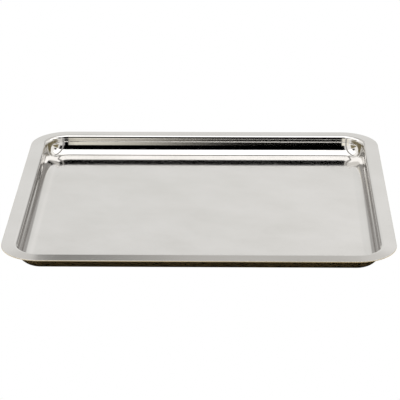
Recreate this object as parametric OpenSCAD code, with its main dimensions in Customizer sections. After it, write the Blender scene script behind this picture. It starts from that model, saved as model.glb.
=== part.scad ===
// Flat-rimmed sheet-metal tray, drawn in one press stroke from a single blank.
// Millimetres, +Z up. The origin is the middle of the underside, on the plane the tray rests on.
// The same wall section runs all the way round, along four straight sides and round four corners.

/* [Overall] */
// Width of the tray, left to right over the rim
tray_w = 300; // [200:5:420]
// Depth of the tray, front to back over the rim
tray_d = 270; // [180:5:400]
// Height of the tray, from the underside to the top of the rim
tray_h = 15.6; // [14:0.2:40]
// Radius of the rim's outer corners, seen from above
corner_r = 31; // [25:1:60]

/* [Sheet] */
// Thickness of the sheet
sheet_t = 0.9; // [0.6:0.1:1.2]
// Rounding of the deburred cut edge of the rim
edge_r = 0.25; // [0.1:0.05:0.3]

/* [Rim] */
// Width of the flat rim, from the outer edge to where the bend starts
rim_w = 9.4; // [6:0.2:12]
// Angle that the rim falls towards its outer edge
rim_fall = 3; // [0:0.5:6]
// Radius of the bend between rim and wall, on the polished upper face
bend_r = 3; // [1.5:0.1:5]

/* [Wall] */
// Angle that the wall leans outwards from upright
wall_draft = 6.5; // [1:0.5:20]
// Radius of the cove between wall and floor, on the polished upper face
cove_r = 11.5; // [6:0.1:13]

/* [Hidden] */
$fn = 96;
// An angle within a hundredth of a degree or so of the one asked for, whose cosine has five
// decimals, so that a turned flat meets its bends edge to edge with no step between them
function neat(angle) = sign(angle) * acos(round(cos(angle) * 1e5) / 1e5);
draft = neat(wall_draft);
rim_turn = neat(wall_draft - rim_fall);
fall = draft - rim_turn;
// the section is drawn with x outwards from the corner's upright axis and y up
bend_x = corner_r - rim_w;
bend_z = tray_h - bend_r;
cove_z = sheet_t + cove_r;
// the straight wall touches the cove on its inner side and the bend on its outer side
wall_len = (bend_z - cove_z + (cove_r + bend_r) * sin(draft)) / cos(draft);
cove_x = bend_x - (cove_r + bend_r) * cos(draft) - wall_len * sin(draft);
// the rim's rounded edge ends exactly at the corner's outer radius
rim_len = edge_r + (rim_w - edge_r - (bend_r - edge_r) * sin(fall)) / cos(fall);
// a distance that clears every bend
reach = 2 * (cove_r + sheet_t);
// half the lengths between the corners' axes
half_x = tray_w / 2 - corner_r;
half_y = tray_d / 2 - corner_r;

// A ring of the sheet's thickness, from which the bends are cut
module sheet_ring(inner_r) {
    difference() {
        circle(r = inner_r + sheet_t);
        circle(r = inner_r);
    }
}

// The half plane on the low side of x or y
module low_x_half() {
    translate([-reach, -reach]) square([reach, 2 * reach]);
}
module low_y_half() {
    translate([-reach, -reach]) square([2 * reach, reach]);
}

// A flat band of the sheet with its cut end deburred, running along +x with its top at y = 0
module rim_band(length) {
    translate([0, -sheet_t]) square([length - edge_r, sheet_t]);
    translate([length - edge_r, edge_r - sheet_t]) square([edge_r, sheet_t - 2 * edge_r]);
    translate([length - edge_r, -edge_r]) circle(r = edge_r);
    translate([length - edge_r, edge_r - sheet_t]) circle(r = edge_r);
}

// The cove, a quarter turn less the draft, about the origin
module cove_band() {
    intersection() {
        sheet_ring(cove_r);
        mirror([1, 0]) low_x_half();
        rotate(-draft) low_y_half();
    }
}

// The bend and the rim, in the leaning wall's own frame, about the bend's centre
module bend_and_rim() {
    intersection() {
        sheet_ring(bend_r - sheet_t);
        mirror([0, 1]) low_y_half();
        rotate(rim_turn) low_x_half();
    }
    rotate(rim_turn) translate([0, bend_r]) rim_band(rim_len);
}

// The tray's section, from a corner's axis out to the rim's edge
module section() {
    square([cove_x, sheet_t]);
    translate([cove_x, cove_z]) {
        cove_band();
        rotate(-draft) {
            translate([cove_r, 0]) square([sheet_t, wall_len]);
            translate([cove_r + bend_r, wall_len]) bend_and_rim();
        }
    }
}

// One straight side, running from corner to corner along the turned x axis
module side(length, out) {
    translate([0, out, 0]) rotate([90, 0, 90]) linear_extrude(height = length, center = true) section();
}

// The quarter turn of the section that makes one corner
module corner() {
    translate([half_x, half_y, 0]) rotate_extrude(angle = 90) section();
}

// The whole pressing: floor, cove, wall and rim in one sheet
module tray_pan() {
    color("silver") union() {
        translate([-half_x, -half_y, 0]) cube([2 * half_x, 2 * half_y, sheet_t]);
        for (turn = [0, 180]) {
            rotate(turn) side(2 * half_x, half_y);
            rotate(turn + 90) side(2 * half_y, half_x);
        }
        for (flip_x = [0, 1], flip_y = [0, 1])
            mirror([flip_x, 0, 0]) mirror([0, flip_y, 0]) corner();
    }
}

tray_pan();
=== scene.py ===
"""Looks for the flat-rimmed stainless steel tray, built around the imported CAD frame.

One sheet, pressed in one stroke, carries one section all the way round its floor. Metres, +Z up,
with the origin in the middle of the underside.
"""
import math

import bpy
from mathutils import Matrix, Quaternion, Vector


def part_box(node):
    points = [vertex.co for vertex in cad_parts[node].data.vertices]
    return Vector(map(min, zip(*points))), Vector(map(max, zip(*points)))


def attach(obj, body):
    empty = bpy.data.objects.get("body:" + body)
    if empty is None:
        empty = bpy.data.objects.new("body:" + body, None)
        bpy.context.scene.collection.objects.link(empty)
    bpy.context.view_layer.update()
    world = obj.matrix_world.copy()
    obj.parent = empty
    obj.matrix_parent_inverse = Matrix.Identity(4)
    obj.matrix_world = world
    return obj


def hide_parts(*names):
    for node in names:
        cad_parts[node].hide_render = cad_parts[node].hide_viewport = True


MM = 0.001

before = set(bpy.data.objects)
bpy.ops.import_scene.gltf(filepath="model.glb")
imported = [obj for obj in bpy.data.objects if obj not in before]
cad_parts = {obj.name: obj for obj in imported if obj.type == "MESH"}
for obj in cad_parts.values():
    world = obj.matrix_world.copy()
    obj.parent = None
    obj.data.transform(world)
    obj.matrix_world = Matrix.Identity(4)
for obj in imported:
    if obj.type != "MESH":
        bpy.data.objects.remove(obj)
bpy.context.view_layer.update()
pan_low, pan_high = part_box("tray_pan")
width, depth, height = pan_high - pan_low

# The sheet and its bends, as the CAD section has them
SHEET = 0.9 * MM
EDGE_ROUND = 0.25 * MM
CORNER = 31 * MM
RIM = 9.4 * MM
BEND = 3.0 * MM
COVE = 11.5 * MM
RIM_FALL = math.radians(3)
WALL_DRAFT = math.radians(6.5)

# How finely the sheet is drawn
CORNER_STEPS = 32
SIDE_STEPS = 36
COVE_STEPS = 18
BEND_STEPS = 16
EDGE_STEPS = 4
# A row this far inside each flat keeps the flat truly flat beside its bend
HOLD = 0.15 * MM
# How far the middle of the floor swells where the press let it spring back
FLOOR_SWELL = 0.03 * MM
SWELL_LENGTH = 90 * MM


def add(tree, kind, sockets=None, **settings):
    """Adds one node with its settings, and sets or links its inputs.

    A Mix node's pair of inputs is 2 and 3 for numbers, 4 and 5 for vectors, 6 and 7 for colours.
    """
    node = tree.nodes.new(kind)
    for name, value in settings.items():
        setattr(node, name, value)
    for key, value in (sockets or {}).items():
        if isinstance(value, bpy.types.Node):
            value = value.outputs[0]
        if isinstance(value, bpy.types.NodeSocket):
            tree.links.new(value, node.inputs[key])
        else:
            node.inputs[key].default_value = value
    return node


def linear(hex_colour):
    """An sRGB hex colour as the linear colour that a shader takes."""
    shares = [int(hex_colour[i:i + 2], 16) / 255 for i in (1, 3, 5)]
    return [s / 12.92 if s <= 0.04045 else ((s + 0.055) / 1.055) ** 2.4 for s in shares] + [1.0]


# ---- The pressing ----

def arc(centre, radius, start, end, steps):
    """Points of the section along an arc, between two angles from +X."""
    angles = [start + (end - start) * i / steps for i in range(steps + 1)]
    return [centre + radius * Vector((math.cos(a), 0, math.sin(a))) for a in angles]


def flat(start, end):
    """The points that hold a flat stretch between two bends."""
    step = (end - start).normalized() * HOLD
    return [start + step, (start + end) / 2, end - step]


def sheet_section():
    """The sheet's outline from a corner's upright axis: out along its upper face and back beneath.

    Each point comes with its zone: x is 1 where the die burnished the sheet, y is 1 on the cut edge.
    """
    down = math.radians(-90)
    up = math.radians(90)
    bend = Vector((CORNER - RIM, 0, height - BEND))
    cove_z = SHEET + COVE
    both = COVE + BEND
    wall = (bend.z - cove_z + both * math.sin(WALL_DRAFT)) / math.cos(WALL_DRAFT)
    cove_x = bend.x - both * math.cos(WALL_DRAFT) - wall * math.sin(WALL_DRAFT)
    cove = Vector((cove_x, 0, cove_z))
    across = Vector((math.sin(RIM_FALL), 0, math.cos(RIM_FALL)))
    along = Vector((math.cos(RIM_FALL), 0, -math.sin(RIM_FALL)))
    reach = (RIM - EDGE_ROUND - (BEND - EDGE_ROUND) * across.x) / along.x
    edge_top = bend + across * (BEND - EDGE_ROUND) + along * reach
    edge_under = bend + across * (BEND - SHEET + EDGE_ROUND) + along * reach

    plain, drawn, cut = (0, 0, 0), (1, 0, 0), (0, 1, 0)
    runs = [
        (plain, [Vector((0, 0, SHEET))]),
        (drawn, arc(cove, COVE, down, -WALL_DRAFT, COVE_STEPS)),
        (drawn, arc(bend, BEND, math.pi - WALL_DRAFT, up - RIM_FALL, BEND_STEPS)),
        (cut, arc(edge_top, EDGE_ROUND, up - RIM_FALL, -RIM_FALL, EDGE_STEPS)),
        (cut, arc(edge_under, EDGE_ROUND, -RIM_FALL, down - RIM_FALL, EDGE_STEPS)),
        (drawn, arc(bend, BEND - SHEET, up - RIM_FALL, math.pi - WALL_DRAFT, BEND_STEPS)),
        (drawn, arc(cove, COVE + SHEET, -WALL_DRAFT, down, COVE_STEPS)),
        (plain, [Vector((0, 0, 0))]),
    ]
    points = list(runs[0][1])
    zones = [plain]
    for (zone_before, before), (zone, after) in zip(runs, runs[1:]):
        between = flat(before[-1], after[0])
        points += between + after
        zones += [zone if zone == zone_before else plain] * len(between) + [zone] * len(after)
    return points, zones, cove_x


def pressing_tree():
    """Geometry Nodes that carry the section round the corners and sides, and fill the middle."""
    tree = bpy.data.node_groups.new("pressed sheet", "GeometryNodeTree")
    face = tree.interface
    face.new_socket("Section", in_out="INPUT", socket_type="NodeSocketGeometry")
    for name in ("Half width", "Half depth", "Sheet", "Floor edge", "Swell", "Swell length"):
        face.new_socket(name, in_out="INPUT", socket_type="NodeSocketFloat")
    for name in ("Corner steps", "Side steps"):
        face.new_socket(name, in_out="INPUT", socket_type="NodeSocketInt")
    face.new_socket("Finish", in_out="INPUT", socket_type="NodeSocketMaterial")
    face.new_socket("Pressing", in_out="OUTPUT", socket_type="NodeSocketGeometry")
    given = tree.nodes.new("NodeGroupInput").outputs
    maths = "ShaderNodeMath"
    vectors = "ShaderNodeVectorMath"

    # A grid with one row for each point of the section, and its columns round the tray
    rows = add(tree, "GeometryNodeAttributeDomainSize", {"Geometry": given["Section"]}).outputs[0]
    turn = add(tree, maths, {0: given["Corner steps"], 1: given["Side steps"]}, operation="ADD")
    columns = add(tree, maths, {0: turn, 1: 4.0, 2: 1.0}, operation="MULTIPLY_ADD")
    grid = add(tree, "GeometryNodeMeshGrid", {"Vertices X": columns, "Vertices Y": rows})
    index = add(tree, "GeometryNodeInputIndex")
    row = add(tree, maths, {0: index, 1: rows}, operation="MODULO")
    part = add(tree, maths, {0: index, 1: rows}, operation="DIVIDE")
    column = add(tree, maths, {0: part}, operation="FLOOR")

    # Each quarter turns through its corner first, and then runs straight to the next corner
    quarter_part = add(tree, maths, {0: column, 1: turn}, operation="DIVIDE")
    quarter = add(tree, maths, {0: quarter_part}, operation="FLOOR")
    step = add(tree, maths, {0: column, 1: turn}, operation="MODULO")
    bent = add(tree, maths, {0: step, 1: given["Corner steps"]}, operation="DIVIDE")
    bent = add(tree, maths, {0: bent, 1: 1.0}, operation="MINIMUM")
    run = add(tree, maths, {0: step, 1: given["Corner steps"]}, operation="SUBTRACT")
    run = add(tree, maths, {0: run, 1: given["Side steps"]}, operation="DIVIDE")
    run = add(tree, maths, {0: run, 1: 0.0}, operation="MAXIMUM")
    quarter_angle = add(tree, maths, {0: quarter, 1: math.pi / 2}, operation="MULTIPLY")
    next_angle = add(tree, maths, {0: quarter_angle, 1: math.pi / 2}, operation="ADD")
    angle = add(tree, maths, {0: bent, 1: math.pi / 2, 2: quarter_angle}, operation="MULTIPLY_ADD")
    this_corner = add(tree, "ShaderNodeVectorRotate", {"Vector": (1, 1, 0), "Angle": quarter_angle},
                      rotation_type="Z_AXIS")
    next_corner = add(tree, "ShaderNodeVectorRotate", {"Vector": (1, 1, 0), "Angle": next_angle},
                      rotation_type="Z_AXIS")
    between = add(tree, "ShaderNodeMix", {"Factor": run, 4: this_corner, 5: next_corner},
                  data_type="VECTOR").outputs[1]
    halves = add(tree, "ShaderNodeCombineXYZ", {"X": given["Half width"], "Y": given["Half depth"]})
    axis = add(tree, vectors, {0: between, 1: halves}, operation="MULTIPLY")

    # The section's point for this row, turned to face outwards from the corner's axis
    position = add(tree, "GeometryNodeInputPosition")
    outline = add(tree, "GeometryNodeSampleIndex",
                  {"Geometry": given["Section"], "Value": position, "Index": row},
                  data_type="FLOAT_VECTOR")
    turned = add(tree, "ShaderNodeVectorRotate", {"Vector": outline, "Angle": angle},
                 rotation_type="Z_AXIS")
    place = add(tree, vectors, {0: axis, 1: turned}, operation="ADD")
    swept = add(tree, "GeometryNodeSetPosition", {"Geometry": grid, "Position": place})
    zone = add(tree, "GeometryNodeInputNamedAttribute", {"Name": "zones"}, data_type="FLOAT_VECTOR")
    zone = add(tree, "GeometryNodeSampleIndex",
               {"Geometry": given["Section"], "Value": zone, "Index": row}, data_type="FLOAT_VECTOR")
    swept = add(tree, "GeometryNodeStoreNamedAttribute",
                {"Geometry": swept, "Name": "zones", "Value": zone}, data_type="FLOAT_VECTOR")
    swept = add(tree, "GeometryNodeFlipFaces", {"Mesh": swept})

    # The middle of the floor, between the corners' axes, above and beneath
    side_points = add(tree, maths, {0: given["Side steps"], 1: 1.0}, operation="ADD")
    full_width = add(tree, maths, {0: given["Half width"], 1: 2.0}, operation="MULTIPLY")
    full_depth = add(tree, maths, {0: given["Half depth"], 1: 2.0}, operation="MULTIPLY")
    middle = add(tree, "GeometryNodeMeshGrid",
                 {"Size X": full_width, "Size Y": full_depth,
                  "Vertices X": side_points, "Vertices Y": side_points})
    lift = add(tree, "ShaderNodeCombineXYZ", {"Z": given["Sheet"]})
    upper = add(tree, "GeometryNodeSetPosition", {"Geometry": middle, "Offset": lift})
    under = add(tree, "GeometryNodeFlipFaces", {"Mesh": middle})
    whole = tree.nodes.new("GeometryNodeJoinGeometry")
    for shape in (swept, upper, under):
        tree.links.new(shape.outputs[0], whole.inputs[0])
    joined = add(tree, "GeometryNodeMergeByDistance", {"Geometry": whole, "Distance": 0.001 * MM})

    # The floor swells a little and unevenly, fading out where the cove begins
    spread = add(tree, vectors, {0: position}, operation="ABSOLUTE")
    past = add(tree, vectors, {0: spread, 1: halves}, operation="SUBTRACT")
    past = add(tree, vectors, {0: past, 1: (0, 0, 0)}, operation="MAXIMUM")
    past = add(tree, vectors, {0: past, 1: (1, 1, 0)}, operation="MULTIPLY")
    past = add(tree, vectors, {0: past}, operation="LENGTH").outputs["Value"]
    fade = add(tree, "ShaderNodeMapRange",
               {"Value": past, "From Min": 0.0, "From Max": given["Floor edge"],
                "To Min": 1.0, "To Max": 0.0},
               interpolation_type="SMOOTHERSTEP")
    level = add(tree, vectors, {0: position, 1: (1, 1, 0)}, operation="MULTIPLY")
    waves = add(tree, maths, {0: 1.0, 1: given["Swell length"]}, operation="DIVIDE")
    noise = add(tree, "ShaderNodeTexNoise", {"Vector": level, "Scale": waves, "Detail": 1.0})
    rise = add(tree, maths, {0: noise, 1: given["Swell"]}, operation="MULTIPLY")
    rise = add(tree, maths, {0: rise, 1: fade}, operation="MULTIPLY")
    offset = add(tree, "ShaderNodeCombineXYZ", {"Z": rise})
    sprung = add(tree, "GeometryNodeSetPosition", {"Geometry": joined, "Offset": offset})
    smooth = add(tree, "GeometryNodeSetShadeSmooth", {"Geometry": sprung})
    real = add(tree, "GeometryNodeRealizeInstances", {"Geometry": smooth})
    finished = add(tree, "GeometryNodeSetMaterial", {"Geometry": real, "Material": given["Finish"]})
    result = tree.nodes.new("NodeGroupOutput")
    tree.links.new(finished.outputs[0], result.inputs[0])
    return tree


def make_pressing(finish):
    """The whole tray as one closed sheet."""
    points, zones, floor_edge = sheet_section()
    outline = bpy.data.meshes.new("section")
    outline.from_pydata(points, [(i, i + 1) for i in range(len(points) - 1)], [])
    marks = outline.attributes.new("zones", "FLOAT_VECTOR", "POINT")
    for mark, zone in zip(marks.data, zones):
        mark.vector = zone
    pattern = bpy.data.objects.new("section", outline)
    bpy.context.scene.collection.objects.link(pattern)
    tree = pressing_tree()
    sizes = {
        "Half width": width / 2 - CORNER,
        "Half depth": depth / 2 - CORNER,
        "Sheet": SHEET,
        "Floor edge": floor_edge,
        "Swell": FLOOR_SWELL,
        "Swell length": SWELL_LENGTH,
        "Corner steps": CORNER_STEPS,
        "Side steps": SIDE_STEPS,
        "Finish": finish,
    }
    press = pattern.modifiers.new("press", "NODES")
    press.node_group = tree
    for item in tree.interface.items_tree:
        if item.name in sizes:
            press[item.identifier] = sizes[item.name]
    evaluated = pattern.evaluated_get(bpy.context.evaluated_depsgraph_get())
    mesh = bpy.data.meshes.new_from_object(evaluated)
    bpy.data.objects.remove(pattern)
    mesh.name = "pressed_tray"
    mesh.materials.clear()
    mesh.materials.append(finish)
    mesh.polygons.foreach_set("material_index", [0] * len(mesh.polygons))
    pressing = bpy.data.objects.new("pressed_tray", mesh)
    bpy.context.scene.collection.objects.link(pressing)
    return pressing


# ---- The finish ----

def spread_noise(tree, place, sizes, turn=0.0, detail=2.0):
    """Noise whose features have the given real sizes along X, Y and Z, turned about Z."""
    turned = add(tree, "ShaderNodeVectorRotate", {"Vector": place, "Angle": math.radians(turn)},
                 rotation_type="Z_AXIS")
    stretch = Vector([1 / size for size in sizes])
    mapped = add(tree, "ShaderNodeVectorMath", {0: turned, 1: stretch}, operation="MULTIPLY")
    return add(tree, "ShaderNodeTexNoise", {"Vector": mapped, "Scale": 1.0, "Detail": detail})


def bright_steel():
    """Bright-annealed 18/8 stainless steel.

    Sharp bands run along the burnished bends, and the flats give a softly hazed picture of the
    room, with a faint grain along the rolling direction, a few hairlines from use and a duller
    deburred edge.
    """
    material = bpy.data.materials.new("bright_annealed_stainless")
    material.use_nodes = True
    tree = material.node_tree
    tree.nodes.clear()
    maths = "ShaderNodeMath"
    place = add(tree, "ShaderNodeTexCoord").outputs["Object"]
    zones = add(tree, "ShaderNodeAttribute", attribute_name="zones").outputs["Vector"]
    zones = add(tree, "ShaderNodeSeparateXYZ", {0: zones})

    # Haze: clouded patches a few centimetres wide, left by wiping
    haze = spread_noise(tree, place, (55 * MM, 38 * MM, 45 * MM), turn=24, detail=4.0)
    haze = add(tree, "ShaderNodeMapRange", {"Value": haze, "From Min": 0.3, "From Max": 0.7})
    tint = add(tree, "ShaderNodeMix", {"Factor": haze, 6: linear("#dddbd9"), 7: linear("#d6d4d1")},
               data_type="RGBA").outputs[2]

    # Grain: fine streaks along the sheet's rolling direction
    grain = spread_noise(tree, place, (18 * MM, 0.4 * MM, 0.4 * MM))

    # Hairlines: sparse fine scratches at two slants
    lines = []
    for turn in (9, -64):
        scratch = spread_noise(tree, place, (30 * MM, 0.25 * MM, 6 * MM), turn=turn, detail=0.0)
        lines.append(add(tree, "ShaderNodeMapRange",
                         {"Value": scratch, "From Min": 0.74, "From Max": 0.8},
                         interpolation_type="SMOOTHSTEP"))
    scratched = add(tree, maths, {0: lines[0], 1: lines[1]}, operation="MAXIMUM")

    flats = add(tree, "ShaderNodeMapRange", {"Value": haze, "To Min": 0.075, "To Max": 0.1})
    flats = add(tree, maths, {0: grain, 1: 0.02, 2: flats}, operation="MULTIPLY_ADD")
    flats = add(tree, maths, {0: scratched, 1: 0.07, 2: flats}, operation="MULTIPLY_ADD")
    rough = add(tree, "ShaderNodeMix", {0: zones.outputs["X"], 2: flats, 3: 0.075}).outputs[0]
    rough = add(tree, "ShaderNodeMix", {0: zones.outputs["Y"], 2: rough, 3: 0.22}).outputs[0]

    # The sheet waves a few microns over the width of a finger
    waves = spread_noise(tree, place, (34 * MM, 26 * MM, 30 * MM), turn=70, detail=1.0)
    undrawn = add(tree, maths, {0: 1.0, 1: zones.outputs["X"]}, operation="SUBTRACT")
    waved = add(tree, "ShaderNodeBump", {"Height": waves, "Strength": undrawn, "Distance": 0.005 * MM})
    grained = add(tree, "ShaderNodeBump",
                  {"Height": grain, "Normal": waved, "Strength": undrawn, "Distance": 0.00005 * MM})
    steel = add(tree, "ShaderNodeBsdfPrincipled",
                {"Base Color": tint, "Metallic": 1.0, "Roughness": rough, "Normal": grained})
    add(tree, "ShaderNodeOutputMaterial", {"Surface": steel})
    return material


# ---- The camera and the studio ----

def add_camera():
    """A long lens from the front and a little above, as a catalogue view is taken."""
    aim = Vector((-1.6, 13.2, 1.5)) * MM
    distance = 1470.4 * MM
    turn = math.radians(-1.432)
    drop = math.radians(22.95)
    roll = math.radians(-0.356)
    look = Vector((math.sin(turn) * math.cos(drop), math.cos(turn) * math.cos(drop), -math.sin(drop)))
    data = bpy.data.cameras.new("camera")
    data.lens = 161.06
    data.sensor_width = 36
    data.clip_end = 50
    camera = bpy.data.objects.new("camera", data)
    camera.location = aim - look * distance
    camera.rotation_mode = "QUATERNION"
    camera.rotation_quaternion = look.to_track_quat("-Z", "Y") @ Quaternion((0, 0, 1), roll)
    bpy.context.scene.collection.objects.link(camera)
    bpy.context.scene.camera = camera


def add_floor():
    """A floor that is pure white to the camera, and matt tan to everything else.

    So the steel mirrors a darker floor than the one seen beside it, and no shadow shows on the white.
    """
    size = 8.0
    mesh = bpy.data.meshes.new("floor")
    corners = [(-size, -size), (size, -size), (size, size), (-size, size)]
    mesh.from_pydata([(x, y, -0.1 * MM) for x, y in corners], [], [(0, 1, 2, 3)])
    floor = bpy.data.objects.new("floor", mesh)
    bpy.context.scene.collection.objects.link(floor)
    material = bpy.data.materials.new("white_floor")
    material.use_nodes = True
    tree = material.node_tree
    tree.nodes.clear()
    matt = add(tree, "ShaderNodeBsdfDiffuse", {"Color": linear("#968a70")})
    white = add(tree, "ShaderNodeEmission", {"Color": (1, 1, 1, 1), "Strength": 1.0})
    path = add(tree, "ShaderNodeLightPath")
    seen = add(tree, "ShaderNodeMixShader", {0: path.outputs["Is Camera Ray"], 1: matt, 2: white})
    add(tree, "ShaderNodeOutputMaterial", {"Surface": seen})
    mesh.materials.append(material)


def add_overhead_lamp():
    """Lights the floor from nearly above, so that it falls dark close under the rim.

    The steel doesn't mirror the lamp, so its own look comes from the surroundings alone.
    """
    lamp = bpy.data.lights.new("overhead", "SUN")
    lamp.energy = 8.2
    lamp.angle = math.radians(8)
    overhead = bpy.data.objects.new("overhead", lamp)
    overhead.rotation_euler = (math.radians(-12), 0, 0)
    overhead.visible_glossy = False
    bpy.context.scene.collection.objects.link(overhead)


def card(tree, behind, up, across, light, low, high, left, right):
    """Lays a soft-edged card over the studio: each side is where it starts and where it's full."""
    mask = 1.0
    for value, edge in ((up, low), (up, high), (across, left), (across, right)):
        if edge:
            start, full = edge
            side = add(tree, "ShaderNodeMapRange",
                       {"Value": value, "From Min": start, "From Max": full},
                       interpolation_type="SMOOTHSTEP")
            mask = add(tree, "ShaderNodeMath", {0: mask, 1: side}, operation="MULTIPLY")
    return add(tree, "ShaderNodeMix", {"Factor": mask, 6: behind, 7: light}, data_type="RGBA").outputs[2]


def add_surroundings():
    """The studio that the steel mirrors, as cards on a dome, placed to suit the front view.

    The height of a card is in degrees from the horizon behind the tray, over the top, to the
    horizon behind the camera. Across is the share of its direction that points to the right.
    """
    world = bpy.data.worlds.new("studio")
    bpy.context.scene.world = world
    world.use_nodes = True
    world.cycles_visibility.diffuse = False
    tree = world.node_tree
    direction = add(tree, "ShaderNodeTexCoord").outputs["Generated"]
    axes = add(tree, "ShaderNodeSeparateXYZ", {0: direction})
    across = axes.outputs["X"]
    up = add(tree, "ShaderNodeMath", {0: axes.outputs["Z"], 1: axes.outputs["Y"]}, operation="ARCTAN2")
    up = add(tree, "ShaderNodeMath", {0: up, 1: math.degrees(1)}, operation="MULTIPLY")

    room = add(tree, "ShaderNodeRGB")
    room.outputs[0].default_value = (1.2, 1.19, 1.16, 1)
    studio = room.outputs[0]
    # Backdrop: a shade brighter where it curves up
    studio = card(tree, studio, up, across, (0.87, 0.87, 0.85, 1), (-16, -12), (29, 26), None, None)
    studio = card(tree, studio, up, across, (0.92, 0.92, 0.905, 1), (12, 23), (29, 26), None, None)
    studio = card(tree, studio, up, across, (0.98, 0.975, 0.96, 1), (20, 24), (29, 26),
                  (-0.08, 0.1), None)
    # The gap between the backdrop and the softbox: grey behind the tray, and darker to the left
    studio = card(tree, studio, up, across, (0.78, 0.77, 0.75, 1), (26, 29), (60, 56),
                  (-0.34, -0.28), (0.34, 0.28))
    studio = card(tree, studio, up, across, (0.65, 0.64, 0.62, 1), (26, 29), (60, 56),
                  (-0.125, -0.105), (0.09, 0.045))
    studio = card(tree, studio, up, across, (0.25, 0.25, 0.24, 1), (26, 29), (60, 56),
                  (-0.125, -0.105), (0.0, -0.12))
    # Overhead softbox
    studio = card(tree, studio, up, across, (1.9, 1.9, 1.9, 1), (57, 62), (113, 110.5),
                  (-0.85, -0.75), (0.85, 0.75))
    # The dark front of the studio, with the unlit ceiling before the softbox
    studio = card(tree, studio, up, across, (0.0, 0.0, 0.0, 1), (110.5, 113), None,
                  (-0.36, -0.22), (0.75, 0.6))
    # Windows low on the left of the camera and far on its right
    studio = card(tree, studio, up, across, (1.2, 1.16, 1.02, 1), (150, 156), None,
                  (-0.7, -0.6), (0.0, -0.12))
    studio = card(tree, studio, up, across, (1.0, 0.99, 0.96, 1), (146, 152), None,
                  (0.25, 0.4), None)
    # Grey stands on both sides, which the side walls mirror
    studio = card(tree, studio, up, across, (0.48, 0.47, 0.46, 1), (-12, -8), None,
                  (-0.5, -0.46), (-0.34, -0.38))
    studio = card(tree, studio, up, across, (0.45, 0.44, 0.43, 1), (-12, -8), None,
                  (0.34, 0.38), (0.5, 0.46))
    # Brown shelves far out on both sides, with a dark top
    for near, far in ((0.74, 0.8), (-0.74, -0.8)):
        studio = card(tree, studio, up, across, (0.3, 0.26, 0.16, 1), (112, 122), (168, 162),
                      (near, far), None)
        studio = card(tree, studio, up, across, (0.03, 0.03, 0.025, 1), (86, 92), (112, 104),
                      (near, far), (math.copysign(0.93, near), math.copysign(0.9, near)))
    tree.links.new(studio, tree.nodes["Background"].inputs["Color"])


pressing = make_pressing(bright_steel())
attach(pressing, "root")
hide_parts("tray_pan")

add_camera()
add_floor()
add_overhead_lamp()
add_surroundings()
bpy.context.scene.view_settings.view_transform = "Standard"
